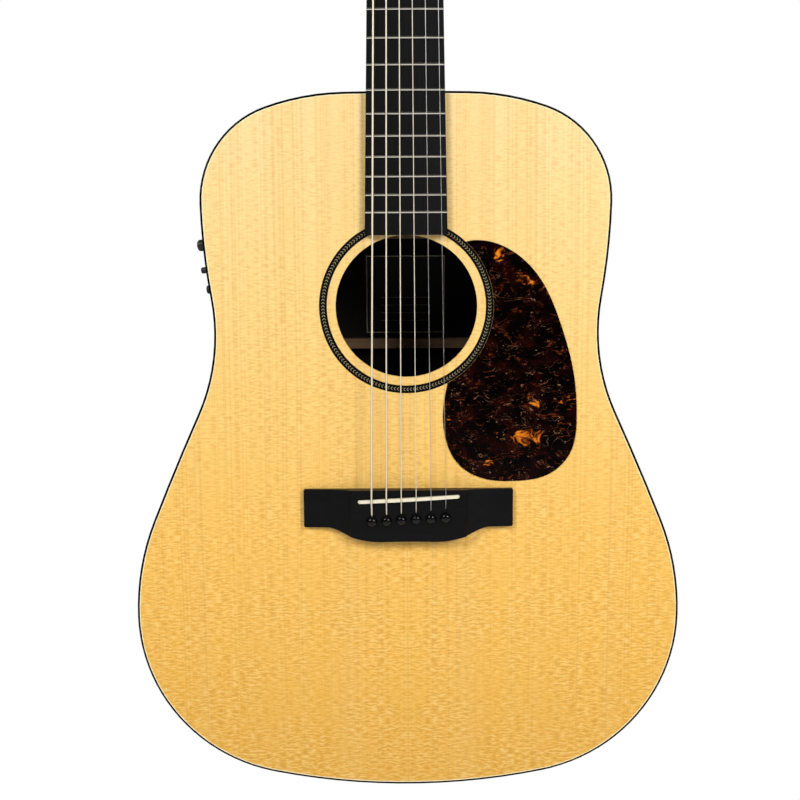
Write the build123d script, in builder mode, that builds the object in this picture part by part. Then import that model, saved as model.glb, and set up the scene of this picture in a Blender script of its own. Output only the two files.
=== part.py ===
"""Fourteen-fret flat-top steel-string acoustic guitar with a side-mounted preamp and an end-pin jack.

Frame: +X to the treble side seen from the front, +Y from the front face towards the back, +Z along
the neck towards the head. The origin is the mouth of the end-pin jack, on the jack's axis.
Drops are measured down the body from the neck joint, heights forward of the top's front face.
"""

import os
from math import asin, atan2, cos, degrees, pi, radians, sin, sqrt

from build123d import *

os.makedirs("parts", exist_ok=True)

# ---------------------------------------------------------------- driving dimensions, millimetres
scale_length = 645.16          # nut to theoretical bridge line
fret_count = 20
joint_fret = 14                # the body starts at this fret
end_pin_reach = 14.0           # how far the end pin stands out of the tail
top_y = -62.0                  # front face of the top, so the jack sits halfway down the tail
depth_at_neck = 100.0
depth_at_tail = 124.0
back_radius = 5000.0           # the back is a shallow dome

top_thickness = 2.8
back_thickness = 2.5
side_thickness = 2.0
binding_depth = 5.0
lining_depth = 13.0
glue_gap = 0.15                # clearance between glued curved faces

fingerboard_thickness = 6.4
fingerboard_radius = 406.4
fingerboard_drop = 100.25      # lower end of the board below the joint
nut_width = 42.86
twelfth_width = 53.98
nut_thickness = 5.0
fret_height = 1.05
fret_width = 1.9

soundhole_drop = 151.0
soundhole_radius = 50.8
rosette_inner = 57.0
rosette_outer = 62.6
rosette_depth = 1.0

saddle_drop = 289.9            # saddle crest on the centre line
pin_drop = 305.0               # row of bridge pins on the centre line
string_shift = 0.95            # the strings' middle at the bridge, towards the treble side
saddle_slant = 0.0515          # rise per millimetre towards the treble side
bridge_height = 8.7
bridge_shift = 0.75            # the bridge's middle, towards the treble side
saddle_thickness = 2.4
bridge_wing_height = 3.6
plate_thickness = 2.4
saddle_crest = 11.6            # string seats above the top
nut_crest = 7.85
saddle_pitch = 10.76
nut_pitch = 7.4
pin_pitch = 10.7
string_radii = [0.68, 0.54, 0.41, 0.30, 0.205, 0.15]

head_tilt = 15.0
head_length = 160.0
head_thickness = 14.0
headplate_thickness = 1.6
post_radius = 3.0
post_rows = [32.0, 72.0, 112.0]
worm_offset = 6.3
bearing_gap = 0.06

# Half of the body's outline as tangent arcs from the top centre: radius, turn. Negative is concave.
outline_arcs = [
    (2000, 1.28), (178, 18), (70, 71.8), (457, 8.4), (-143.3, 34.27), (2037, 2.44), (184.9, 22.97),
    (124.5, 77.73),
]


def arc_chain(inset):
    """Centres, radii and headings of the outline's arcs after moving the outline inwards."""
    x, y, heading = 0.0, -inset, 0.0
    chain = []
    for radius, turn in outline_arcs:
        r = radius - inset
        centre = (x + r * sin(heading), y - r * cos(heading))
        after = heading - radians(turn) * (1 if radius > 0 else -1)
        chain.append((centre, r, heading, after))
        x = centre[0] - r * sin(after)
        y = centre[1] + r * cos(after)
        heading = after
    tail_radius = -x / sin(heading)
    chain.append(((0.0, y - tail_radius * cos(heading)), tail_radius, heading, -pi))
    return chain


def outline(inset=0.0):
    """The body's outline as a flat face in front-face coordinates, moved inwards by inset."""
    with BuildSketch(mode=Mode.PRIVATE) as shape:
        with BuildLine():
            for centre, r, start, end in arc_chain(inset):
                points = []
                for angle in (start, (start + end) / 2, end):
                    points.append((centre[0] - r * sin(angle), centre[1] + r * cos(angle)))
                ThreePointArc(*points)
            mirror(about=Plane.YZ)
        make_face()
    return shape.sketch


last_centre, last_radius, _, _ = arc_chain(0.0)[-1]
body_length = last_radius - last_centre[1]
tail_z = end_pin_reach
joint_z = tail_z + body_length


def fret_distance(n):
    """Distance from the nut to fret n in equal temperament."""
    return scale_length * (1 - 2 ** (-n / 12))


neck_reach = fret_distance(joint_fret)
nut_z = joint_z + neck_reach
board_taper = (twelfth_width - nut_width) / fret_distance(12)


def board_half_width(distance_from_nut):
    return (nut_width + board_taper * distance_from_nut) / 2


# The front face: x across, y up from the neck joint, z out of the top.
face = Plane(origin=(0, top_y, joint_z), x_dir=(1, 0, 0), z_dir=(0, -1, 0))
# The head's front face: x across, y along the head from behind the nut, z out of the head.
head_normal = (0, -cos(radians(head_tilt)), sin(radians(head_tilt)))
head = Plane(origin=(0, top_y, nut_z + nut_thickness), x_dir=(1, 0, 0), z_dir=head_normal)

# The back's dome, placed by the body's depth at both ends of the centre line.
apex_z = (joint_z + tail_z) / 2 - back_radius * (depth_at_tail - depth_at_neck) / body_length
dome_y = top_y + depth_at_tail - sqrt(back_radius**2 - (apex_z - tail_z) ** 2)

# The side where the controls sit: x along the side to the neck, y to the back, z out of the side.
control_drop = 122.6
control_depth = 40.0
(waist_x, waist_y), waist_radius, _, _ = arc_chain(0.0)[3]
control_angle = asin((waist_y + control_drop) / waist_radius)
controls = Plane(
    origin=(
        -waist_x - waist_radius * cos(control_angle),
        top_y + control_depth,
        joint_z - control_drop,
    ),
    x_dir=(-sin(control_angle), 0, cos(control_angle)),
    z_dir=(-cos(control_angle), 0, -sin(control_angle)),
)
control_places = [16.5, -2.0, -16.6]
bushing_radius = 3.4
shaft_radius = 1.8

neck_bolt_depths = [32.0, 64.0]
truss_depth = 8.5
block_length = 60.0
back_brace_drops = [99.0, 186.0, 300.0, 400.0]
jack_depth = -top_y


def saddle_line(x, drop):
    """Height on the page of a line parallel to the saddle, in front-face coordinates."""
    return -drop + saddle_slant * x


string_steps = [n - 2.5 for n in range(6)]
pin_slant_angle = degrees(asin(saddle_slant))


def pin_axis(step):
    x = step * pin_pitch + string_shift
    return x, saddle_line(x, pin_drop)


def dome(depth):
    """The ball whose surface is the back, moved inwards by depth."""
    with BuildPart(mode=Mode.PRIVATE) as ball:
        with Locations((0, dome_y, apex_z)):
            Sphere(back_radius - depth)
    return ball.part


def ring(outer_inset, inner_inset):
    with BuildSketch(mode=Mode.PRIVATE) as shape:
        add(outline(outer_inset))
        add(outline(inner_inset), mode=Mode.SUBTRACT)
    return shape.sketch


def face_box(x, y, z):
    """A box between pairs of limits in front-face coordinates."""
    with BuildPart(face, mode=Mode.PRIVATE) as block:
        with Locations(((x[0] + x[1]) / 2, (y[0] + y[1]) / 2, (z[0] + z[1]) / 2)):
            Box(x[1] - x[0], y[1] - y[0], z[1] - z[0])
    return block.part


def slab(profile, front, back):
    """A flat profile in front-face coordinates, made solid between two heights."""
    with BuildPart(mode=Mode.PRIVATE) as plate:
        with BuildSketch(face.offset(front)):
            add(profile)
        extrude(amount=back - front)
    return plate.part


def save(piece, name):
    piece.part.label = name
    export_step(piece.part, f"parts/{name}.step")
    print(name, len(piece.part.solids()), round(piece.part.volume, 1))


# ---------------------------------------------------------------- body shell
edge = outline(side_thickness + glue_gap / 3)
inner_profile = outline(side_thickness + glue_gap)
brace_profile = outline(9.0)
lining_profile = ring(side_thickness + glue_gap, 8.0)

with BuildPart() as soundboard:
    add(slab(edge, 0, -top_thickness))
    with BuildSketch(face):
        with Locations((0, -soundhole_drop)):
            Circle(soundhole_radius)
    extrude(amount=-top_thickness, mode=Mode.SUBTRACT)
    with BuildSketch(face):
        with Locations((0, -soundhole_drop)):
            Circle(rosette_outer)
            Circle(rosette_inner, mode=Mode.SUBTRACT)
    extrude(amount=-rosette_depth, mode=Mode.SUBTRACT)
    with BuildPart(face, mode=Mode.SUBTRACT):
        with Locations([(*pin_axis(n), 0) for n in string_steps]):
            Cylinder(2.55, 20)
        with Locations((-30, saddle_line(-30, saddle_drop), 0)):
            Cylinder(1.2, 20)
save(soundboard, "soundboard")

with BuildPart() as rosette:
    with BuildSketch(face):
        with Locations((0, -soundhole_drop)):
            Circle(rosette_outer - glue_gap / 3)
            Circle(rosette_inner + glue_gap / 3, mode=Mode.SUBTRACT)
    extrude(amount=-rosette_depth)
save(rosette, "rosette")

with BuildPart() as top_binding:
    add(slab(ring(0, side_thickness - glue_gap / 2), 0, -binding_depth))
    front_edges = top_binding.faces().filter_by(Axis.Y).sort_by(Axis.Y)[0].outer_wire().edges()
    fillet(front_edges, 0.7)
save(top_binding, "top_binding")

with BuildPart() as back_binding:
    add(slab(ring(0, side_thickness - glue_gap / 2), -60, -150))
    add(dome(0), mode=Mode.INTERSECT)
    add(dome(binding_depth), mode=Mode.SUBTRACT)
save(back_binding, "back_binding")

with BuildPart() as back_plate:
    add(slab(edge, -60, -150))
    add(dome(0), mode=Mode.INTERSECT)
    add(dome(back_thickness), mode=Mode.SUBTRACT)
save(back_plate, "back_plate")

side_ring = ring(0, side_thickness)
for name, limits in (("side_bass", (-250, -0.03)), ("side_treble", (0.03, 250))):
    with BuildPart() as side:
        add(slab(side_ring, -binding_depth, -150))
        add(dome(binding_depth + glue_gap), mode=Mode.INTERSECT)
        add(face_box(limits, (-600, 100), (-150, 0)), mode=Mode.INTERSECT)
        add(face_box((-7.1, 7.1), (-body_length - 10, -body_length + 1.1), (-150, 0)), mode=Mode.SUBTRACT)
        with BuildPart(face, mode=Mode.SUBTRACT):
            with Locations((0, -body_length, -jack_depth)):
                Cylinder(6.2, 30, rotation=(90, 0, 0))
            for depth in (truss_depth, *neck_bolt_depths):
                with Locations((0, 0, -depth)):
                    Cylinder(3.3, 30, rotation=(90, 0, 0))
        with BuildPart(controls, mode=Mode.SUBTRACT):
            with Locations([(x, 0, 0) for x in control_places]):
                Cylinder(bushing_radius + 0.2, 20)
    save(side, name)

with BuildPart() as end_graft:
    add(slab(ring(0, 1.0), -binding_depth - 0.1, -150))
    add(dome(binding_depth + glue_gap), mode=Mode.INTERSECT)
    add(face_box((-7, 7), (-body_length - 10, -body_length + 20), (-150, 0)), mode=Mode.INTERSECT)
    with BuildPart(face, mode=Mode.SUBTRACT):
        with Locations((0, -body_length, -jack_depth)):
            Cylinder(6.2, 30, rotation=(90, 0, 0))
save(end_graft, "end_graft")

with BuildPart() as linings:
    add(slab(lining_profile, -top_thickness, -top_thickness - lining_depth))
    with BuildPart():
        add(slab(lining_profile, -60, -150))
        add(dome(back_thickness + glue_gap), mode=Mode.INTERSECT)
        add(dome(back_thickness + lining_depth), mode=Mode.SUBTRACT)
    add(face_box((-33, 33), (-30, 10), (-150, 0)), mode=Mode.SUBTRACT)
    add(face_box((-36, 36), (-body_length - 10, -body_length + 30), (-150, 0)), mode=Mode.SUBTRACT)
save(linings, "linings")

with BuildPart() as neck_block:
    add(slab(inner_profile, -top_thickness, -150))
    add(dome(back_thickness + glue_gap), mode=Mode.INTERSECT)
    add(face_box((-32, 32), (-block_length, 0), (-150, 0)), mode=Mode.INTERSECT)
    with BuildPart(face, mode=Mode.SUBTRACT):
        with Locations((0, -block_length / 2, -truss_depth)):
            Cylinder(3.3, 100, rotation=(90, 0, 0))
        for depth in neck_bolt_depths:
            with Locations((0, -block_length / 2, -depth)):
                Cylinder(3.2, 100, rotation=(90, 0, 0))
save(neck_block, "neck_block")

with BuildPart() as tail_block:
    add(slab(inner_profile, -top_thickness, -150))
    add(dome(back_thickness + glue_gap), mode=Mode.INTERSECT)
    add(face_box((-35, 35), (-body_length, -body_length + 26), (-150, 0)), mode=Mode.INTERSECT)
    with BuildPart(face, mode=Mode.SUBTRACT):
        with Locations((0, -body_length, -jack_depth)):
            Cylinder(6.1, 100, rotation=(90, 0, 0))
save(tail_block, "tail_block")

# ---------------------------------------------------------------- braces, plates and label
x_brace_drop = 226.0
x_brace_turn = 40.0
x_brace_height = 15.0


def brace(x, drop, turn, length, width, height):
    """A bar under the top, turned from straight across."""
    with BuildPart(face, mode=Mode.PRIVATE) as bar:
        with Locations(Location((x, -drop, -top_thickness - height / 2), (0, 0, turn))):
            Box(length, width, height)
    return bar.part


def lapped_stick(turn, notch):
    """One stick of the X, halved where the other crosses; notch is the cut's middle below the top."""
    with BuildPart(mode=Mode.PRIVATE) as stick:
        add(brace(0, x_brace_drop, turn, 640, 8, x_brace_height))
        with BuildPart(face, mode=Mode.SUBTRACT):
            with Locations(Location((0, -x_brace_drop, -top_thickness - notch), (0, 0, -turn))):
                Box(80, 8 + 2 * glue_gap, x_brace_height / 2 + glue_gap)
    return stick.part


with BuildPart() as top_braces:
    add(brace(0, 84, 0, 400, 8, 17))
    with BuildPart(face, mode=Mode.SUBTRACT):
        with Locations((0, -84, -truss_depth)):
            Cylinder(4.6, 30, rotation=(90, 0, 0))
    add(lapped_stick(x_brace_turn, x_brace_height * 0.75))
    add(lapped_stick(-x_brace_turn, x_brace_height * 0.25))
    for side in (-1, 1):
        add(brace(side * 78, 118, side * 8 + 90, 54, 6, 6))
        add(brace(side * 150, 278, side * 40, 96, 6, 8))
    add(brace(-20, 376, 32, 180, 6, 9))
    add(brace(0, 424, 32, 200, 6, 9))
    add(slab(brace_profile, 0, -40), mode=Mode.INTERSECT)
    add(slab(brace_profile, 0, -top_thickness), mode=Mode.SUBTRACT)
save(top_braces, "top_braces")

with BuildPart() as back_braces:
    for drop, width in zip(back_brace_drops, (7.7, 7.7, 14, 14)):
        add(face_box((-250, 250), (-drop - width / 2, -drop + width / 2), (-150, -40)))
    add(slab(brace_profile, -40, -150), mode=Mode.INTERSECT)
    add(dome(back_thickness + glue_gap), mode=Mode.INTERSECT)
    add(dome(back_thickness + 14), mode=Mode.SUBTRACT)
    with BuildPart():
        add(face_box((-7, 7), (-292, -216), (-150, -40)))
        add(face_box((-7, 7), (-392, -308), (-150, -40)))
        add(face_box((-7, 7), (-480, -408), (-150, -40)))
        add(dome(back_thickness + glue_gap), mode=Mode.INTERSECT)
        add(dome(back_thickness + 2.2), mode=Mode.SUBTRACT)
save(back_braces, "back_braces")

with BuildPart() as label:
    add(face_box((-32.2, 32.2), (-179, -115.7), (-150, -60)))
    add(dome(back_thickness + glue_gap), mode=Mode.INTERSECT)
    add(dome(back_thickness + glue_gap + 0.25), mode=Mode.SUBTRACT)
save(label, "label")


with BuildPart() as bridge_plate:
    with BuildSketch(face.offset(-top_thickness)):
        with Locations(Location((0, -pin_drop + 2, 0), (0, 0, pin_slant_angle))):
            Rectangle(66, 22)
    extrude(amount=-plate_thickness)
    with BuildPart(face, mode=Mode.SUBTRACT):
        with Locations([(*pin_axis(n), -5) for n in string_steps]):
            Cylinder(2.5, 20)
save(bridge_plate, "bridge_plate")

# ---------------------------------------------------------------- bridge, saddle, pins


def bend(amount, x):
    """A height on the crest over x, following the fingerboard's radius."""
    return amount - x * x / (2 * fingerboard_radius)


string_lead = 1.55             # string's distance in front of its pin's axis


def string_path(n, r):
    """Front-face points of a string from under the plate to the nut."""
    px, py = pin_axis(n)
    sx = n * saddle_pitch + string_shift
    nx = n * nut_pitch
    return [
        (px, py + string_lead, -top_thickness - plate_thickness - 2.2),
        (px, py + string_lead, 7.0),
        (sx, saddle_line(sx, saddle_drop), bend(saddle_crest, sx) + r + 0.05),
        (nx, neck_reach + 0.5, bend(nut_crest, nx) + r + 0.05),
    ]


def post_place(index):
    """Post position in head coordinates for string index 0 to 5, bass to treble."""
    row = index if index < 3 else 5 - index
    side = -1 if index < 3 else 1
    y = post_rows[row]
    return side * (21.0 + 0.045 * (y - post_rows[0])), y, side


wrap_base = 7.2                # lowest turn of string above the head's front


def tangent_point(index, r):
    """Where a string meets its turns, in head coordinates."""
    px, py, side = post_place(index)
    local = head.to_local_coords(face.from_local_coords(string_path(index - 2.5, r)[3]))
    dx, dy = px - local.X, py - local.Y
    reach = sqrt(dx * dx + dy * dy)
    rho = post_radius + r + 0.08
    heading = atan2(dy, dx) + side * asin(rho / reach)
    length = sqrt(reach * reach - rho * rho)
    return local.X + length * cos(heading), local.Y + length * sin(heading), rho


def string_run(index, extra=0.0):
    """The straight runs of a string from its ball end to its post."""
    r = string_radii[index]
    tx, ty, _ = tangent_point(index, r)
    points = [face.from_local_coords(p) for p in string_path(index - 2.5, r)]
    points.append(head.from_local_coords((tx, ty, wrap_base + r)))
    with BuildPart(mode=Mode.PRIVATE) as run:
        with BuildLine() as path:
            FilletPolyline(*points, radius=2.0)
        with BuildSketch(Plane(origin=path.line @ 0, z_dir=path.line % 0)):
            Circle(r + extra)
        sweep()
    return run.part


for index in range(6):
    r = string_radii[index]
    px, py, side = post_place(index)
    tx, ty, rho = tangent_point(index, r)
    with BuildPart() as string:
        add(string_run(index))
        with BuildPart(face):
            pin_x, pin_y = pin_axis(index - 2.5)
            with Locations((pin_x, pin_y + string_lead, -top_thickness - plate_thickness - 3.6)):
                Cylinder(1.9, 3.6, rotation=(0, 90, 0))
        spin = Plane(
            origin=head.from_local_coords((px, py, wrap_base + r)),
            x_dir=head.from_local_coords((tx, ty, 0)) - head.from_local_coords((px, py, 0)),
            z_dir=head.z_dir,
        )
        pitch = 2 * r + 0.12
        with BuildPart(mode=Mode.PRIVATE) as turns:
            with BuildLine() as coil:
                Helix(pitch=pitch, height=pitch * 3.2, radius=rho, lefthand=side > 0)
            with BuildSketch(Plane(origin=coil.line @ 0, z_dir=coil.line % 0)):
                Circle(r - 0.01)
            sweep(is_frenet=True)
        add(turns.part.moved(spin.location))
    save(string, f"string_{index + 1}")

clearance_runs = [string_run(index, 0.12) for index in range(6)]

with BuildPart() as bridge:
    with BuildSketch(mode=Mode.PRIVATE) as footprint:
        with BuildLine():
            Polyline((0, -283.4), (76.2, -283.4), (76.2, -311.3), (60, -311.6))
            Spline([(60, -311.6), (50, -314.1), (41, -318.1), (31, -320.7), (0, -321.3)],
                   tangents=[(-1, 0), (-1, 0)])
            mirror(about=Plane.YZ)
        make_face()
        corners = [v for v in vertices() if abs(v.X) > 76]
        fillet(corners, 1.2)
    with BuildSketch(face):
        with Locations((bridge_shift, 0)):
            add(footprint.sketch)
    extrude(amount=bridge_height)
    for side in (-1, 1):
        across = Plane(origin=(bridge_shift, top_y, joint_z - 300), x_dir=(side, 0, 0), z_dir=(0, 0, -side))
        with BuildSketch(across):
            with BuildLine():
                Line((42, 20), (42, bridge_height))
                Spline([(42, bridge_height), (45.5, 6.4), (54, 4.6), (80, bridge_wing_height)],
                       tangents=[(0.7, -1), (1, 0)])
                Line((80, bridge_wing_height), (80, 20))
                Line((80, 20), (42, 20))
            make_face()
        extrude(amount=60, both=True, mode=Mode.SUBTRACT)
    with BuildPart(face, mode=Mode.SUBTRACT):
        with Locations(Location((1, saddle_line(1, saddle_drop), 10), (0, 0, degrees(saddle_slant)))):
            Box(71.2, saddle_thickness + 0.1, 13.6)
        with Locations([(x, saddle_line(x, saddle_drop), 10) for x in (-34.6, 36.6)]):
            Cylinder(saddle_thickness / 2 + 0.05, 13.6)
        with Locations([(*pin_axis(n), 5) for n in string_steps]):
            Cylinder(2.6, 20)
        with Locations((-30, saddle_line(-30, saddle_drop), 0)):
            Cylinder(1.2, 20)
    for run in clearance_runs:
        add(run, mode=Mode.SUBTRACT)
save(bridge, "bridge")

with BuildPart() as saddle:
    crest_plane = Plane(
        origin=face.from_local_coords((1, saddle_line(1, saddle_drop), 0)),
        x_dir=(cos(saddle_slant), 0, sin(saddle_slant)),
        z_dir=(sin(saddle_slant), 0, -cos(saddle_slant)),
    )
    with BuildSketch(crest_plane):
        with BuildLine():
            Polyline((-36.9, bend(saddle_crest, 36.9) - 1.2), (-36.9, 4.9), (36.9, 4.9),
                     (36.9, bend(saddle_crest, 36.9) - 1.2))
            ThreePointArc((-36.9, bend(saddle_crest, 36.9) - 1.2), (-35.4, bend(saddle_crest, 35.4)),
                          (-33, bend(saddle_crest, 33)))
            ThreePointArc((-33, bend(saddle_crest, 33)), (0, saddle_crest), (33, bend(saddle_crest, 33)))
            ThreePointArc((33, bend(saddle_crest, 33)), (35.4, bend(saddle_crest, 35.4)),
                          (36.9, bend(saddle_crest, 36.9) - 1.2))
        make_face()
    extrude(amount=saddle_thickness / 2, both=True)
    upright = saddle.edges().filter_by(Axis.Y)
    fillet(upright, saddle_thickness / 2 - 0.1)
    for run in clearance_runs:
        add(run, mode=Mode.SUBTRACT)
save(saddle, "saddle")

with BuildPart(face) as saddle_pickup:
    with Locations(Location((1, saddle_line(1, saddle_drop), 4.05), (0, 0, degrees(saddle_slant)))):
        Box(71, 2.2, 1.6)
save(saddle_pickup, "saddle_pickup")

pin_base = -top_thickness - plate_thickness - 1.4
pin_seat = 9.3
with BuildPart() as bridge_pins:
    for n in string_steps:
        x, y = pin_axis(n)
        r = string_radii[int(n + 2.5)]
        floor = string_lead - r - 0.1
        shaft_height = pin_seat - pin_base
        with BuildPart(face, mode=Mode.PRIVATE) as pin:
            with Locations((x, y, (pin_base + pin_seat) / 2)):
                Cone(2.1, 2.4, shaft_height)
            with Locations((x, y + floor + 5, (pin_base + pin_seat) / 2)):
                Box(2 * r + 0.3, 10, shaft_height + 2, mode=Mode.SUBTRACT)
            with BuildSketch(face.offset(pin_seat)):
                with Locations((x, y)):
                    Circle(3.9)
            extrude(amount=3.4)
            fillet(pin.edges().filter_by(GeomType.CIRCLE).sort_by(Axis(face.origin, face.z_dir))[-1], 3.2)
        add(pin.part)
save(bridge_pins, "bridge_pins")

# ---------------------------------------------------------------- pickguard
with BuildPart() as pickguard:
    with BuildSketch(face):
        with BuildLine():
            Spline((43, -104.9), (54, -104.2), (74, -110.8), (94, -129), (110, -162), (120.5, -200),
                   (123, -232), (118.5, -258), (102, -274), (80, -278.3), (56, -276.5), (38, -266.5),
                   (28.3, -248), (26.3, -228), (29, -209))
            Line((29, -209), (43, -104.9))
        make_face()
        with Locations((0, -soundhole_drop)):
            Circle(rosette_outer + 0.05, mode=Mode.SUBTRACT)
    extrude(amount=0.6)
save(pickguard, "pickguard")

# ---------------------------------------------------------------- fingerboard, frets, nut
board_axis = Axis((0, top_y - fingerboard_thickness + fingerboard_radius, 0), (0, 0, 1))
board_end = neck_reach + fingerboard_drop

with BuildPart() as fingerboard:
    with BuildSketch(face):
        with BuildLine():
            Polyline((-board_half_width(0), neck_reach), (board_half_width(0), neck_reach),
                     (board_half_width(board_end), -fingerboard_drop),
                     (-board_half_width(board_end), -fingerboard_drop), close=True)
        make_face()
        lower_corners = [v for v in vertices() if v.Y < 0]
        fillet(lower_corners, 1.5)
    extrude(amount=fingerboard_thickness + 1)
    with BuildPart(mode=Mode.INTERSECT):
        with Locations((0, board_axis.position.Y, nut_z - 250)):
            Cylinder(fingerboard_radius, 600)
    with BuildPart(face, mode=Mode.SUBTRACT):
        for n in range(1, fret_count + 1):
            with Locations((0, neck_reach - fret_distance(n), fingerboard_thickness)):
                Box(80, 0.6, 6)
        for n in (3, 5, 7, 9, 12, 15, 17):
            middle = (fret_distance(n) + fret_distance(n - 1)) / 2
            for shift in ((-5, 5) if n == 12 else (0,)):
                with Locations((-board_half_width(middle), neck_reach - middle + shift, 2.6)):
                    Cylinder(1.1, 3.2, rotation=(0, 90, 0))
save(fingerboard, "fingerboard")

with BuildPart() as side_dots:
    for n in (3, 5, 7, 9, 12, 15, 17):
        middle = (fret_distance(n) + fret_distance(n - 1)) / 2
        for shift in ((-5, 5) if n == 12 else (0,)):
            with BuildPart(face):
                with Locations((-board_half_width(middle) + 0.8, neck_reach - middle + shift, 2.6)):
                    Cylinder(1.05, 1.5, rotation=(0, 90, 0))
save(side_dots, "side_dots")

with BuildPart() as frets:
    for n in range(1, fret_count + 1):
        half = board_half_width(fret_distance(n)) - 0.4
        z = nut_z - fret_distance(n)
        top = top_y - fingerboard_thickness
        spread = degrees(asin(half / fingerboard_radius))
        with BuildPart(mode=Mode.PRIVATE) as wire:
            with BuildSketch(Plane(origin=(0, top, z), x_dir=(0, 0, 1), z_dir=(1, 0, 0))):
                with BuildLine():
                    ThreePointArc((-fret_width / 2, 0), (0, fret_height), (fret_width / 2, 0))
                    Polyline((fret_width / 2, 0), (0.25, 0), (0.25, -1.7), (-0.25, -1.7), (-0.25, 0),
                             (-fret_width / 2, 0))
                make_face()
            revolve(axis=board_axis, revolution_arc=2 * spread)
        add(wire.part.rotate(board_axis, -spread))
save(frets, "frets")

with BuildPart() as nut:
    with BuildSketch(face):
        with Locations((0, neck_reach + nut_thickness / 2)):
            Rectangle(nut_width - 0.4, nut_thickness - 0.04)
    extrude(amount=nut_crest + 1.2)
    with BuildPart(mode=Mode.INTERSECT):
        with Locations((0, top_y - nut_crest - 0.35 + fingerboard_radius, nut_z)):
            Cylinder(fingerboard_radius, 40)
    with BuildPart(mode=Mode.SUBTRACT):
        slope = Plane(origin=(0, top_y - nut_crest - 1.0, nut_z + 1.4), x_dir=(1, 0, 0),
                      z_dir=(0, -cos(radians(14)), sin(radians(14))))
        with BuildPart(slope):
            with Locations((0, 5, 2)):
                Box(60, 20, 4)
    for run in clearance_runs:
        add(run, mode=Mode.SUBTRACT)
save(nut, "nut")

# ---------------------------------------------------------------- neck
shaft_stations = [(2.0, 21.2, 15.0), (110, 23.2, 15.8), (230, 25.2, 17.2), (neck_reach - 40, 26.8, 18.5)]
heel_stations = [(6, 26.9, 64), (26, 24.0, 50), (56, 17.5, 33), (97.5, 13.5, 24)]


def head_outline():
    with BuildSketch(mode=Mode.PRIVATE) as shape:
        with BuildLine():
            Line((0, -6), (21.2, -6))
            Spline([(21.2, -6), (22.2, 3), (28.2, 12), (31.6, 24)], tangents=[(0, 1), (0.06, 1)])
            Line((31.6, 24), (37.0, 143))
            Spline([(37.0, 143), (27, 150.5), (12, 154), (0, head_length - 1)],
                   tangents=[(-1, 0.3), (-1, 0)])
            mirror(about=Plane.YZ)
        make_face()
        tips = [v for v in vertices() if abs(v.Y - 143) < 0.1]
        fillet(tips, 4)
    return shape.sketch


head_shape = head_outline()

with BuildPart() as neck:
    for distance, half, depth in shaft_stations:
        across = Plane(origin=(0, top_y, nut_z - distance), x_dir=(1, 0, 0), z_dir=(0, 0, 1))
        with BuildSketch(across):
            with BuildLine():
                Polyline((-half, 2.5), (-half, 0), (half, 0), (half, 2.5))
                Spline([(half, 2.5), (half * 0.8, depth * 0.62), (0, depth), (-half * 0.8, depth * 0.62),
                        (-half, 2.5)], tangents=[(0, 1), (0, -1)])
            make_face()
    loft()
    with BuildPart() as heel:
        for depth, half, reach in heel_stations:
            with BuildSketch(Plane(origin=(0, top_y + depth, joint_z), x_dir=(1, 0, 0), z_dir=(0, -1, 0))):
                with BuildLine():
                    Polyline((-half, reach * 0.35), (-half, 0), (half, 0), (half, reach * 0.35))
                    Spline([(half, reach * 0.35), (half * 0.6, reach * 0.84), (0, reach),
                            (-half * 0.6, reach * 0.84), (-half, reach * 0.35)], tangents=[(0, 1), (0, -1)])
                make_face()
        loft()
    add(face_box((-26.9, 26.9), (0, 44), (-8, 0)))
    with BuildPart() as head_slab:
        with BuildSketch(head):
            add(head_shape)
        extrude(amount=-head_thickness)
    add(face_box((-21.2, 21.2), (neck_reach - 4, neck_reach + nut_thickness), (-14, 0)))
    add(face_box((-60, 60), (neck_reach - 20, neck_reach + nut_thickness), (0, 20)), mode=Mode.SUBTRACT)
    with BuildPart(face, mode=Mode.SUBTRACT):
        with Locations((0, neck_reach / 2 - 15, -truss_depth)):
            Cylinder(3.2, neck_reach - 20, rotation=(90, 0, 0))
        for depth in neck_bolt_depths:
            with Locations((0, 0, -depth)):
                Cylinder(3.1, 36, rotation=(90, 0, 0))
    with BuildPart(head, mode=Mode.SUBTRACT):
        for index in range(6):
            px, py, side = post_place(index)
            with Locations((px, py, 0)):
                Cylinder(5.1, 60)
            with Locations((px, py - 10.4, -head_thickness)):
                Cylinder(1.3, 16.4)
save(neck, "neck")

with BuildPart() as heel_cap:
    with BuildSketch(Plane(origin=(0, top_y + 97.5, joint_z), x_dir=(1, 0, 0), z_dir=(0, -1, 0))):
        with BuildLine():
            half = 13.5
            Polyline((-half, 8.4), (-half, 0), (half, 0), (half, 8.4))
            Spline([(half, 8.4), (half * 0.6, 24 * 0.84), (0, 24), (-half * 0.6, 24 * 0.84), (-half, 8.4)],
                   tangents=[(0, 1), (0, -1)])
        make_face()
    extrude(amount=-2)
save(heel_cap, "heel_cap")

with BuildPart() as headplate:
    with BuildSketch(head):
        add(head_shape)
        with Locations((0, -11)):
            Rectangle(90, 22, mode=Mode.SUBTRACT)
        with Locations([post_place(index)[:2] for index in range(6)]):
            Circle(5.1, mode=Mode.SUBTRACT)
    extrude(amount=headplate_thickness)
save(headplate, "headplate")

with BuildPart(face) as truss_rod:
    with Locations((0, (neck_reach - 30 - 68) / 2, -truss_depth)):
        Cylinder(3.0, neck_reach - 30 + 68, rotation=(90, 0, 0))
save(truss_rod, "truss_rod")

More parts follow.
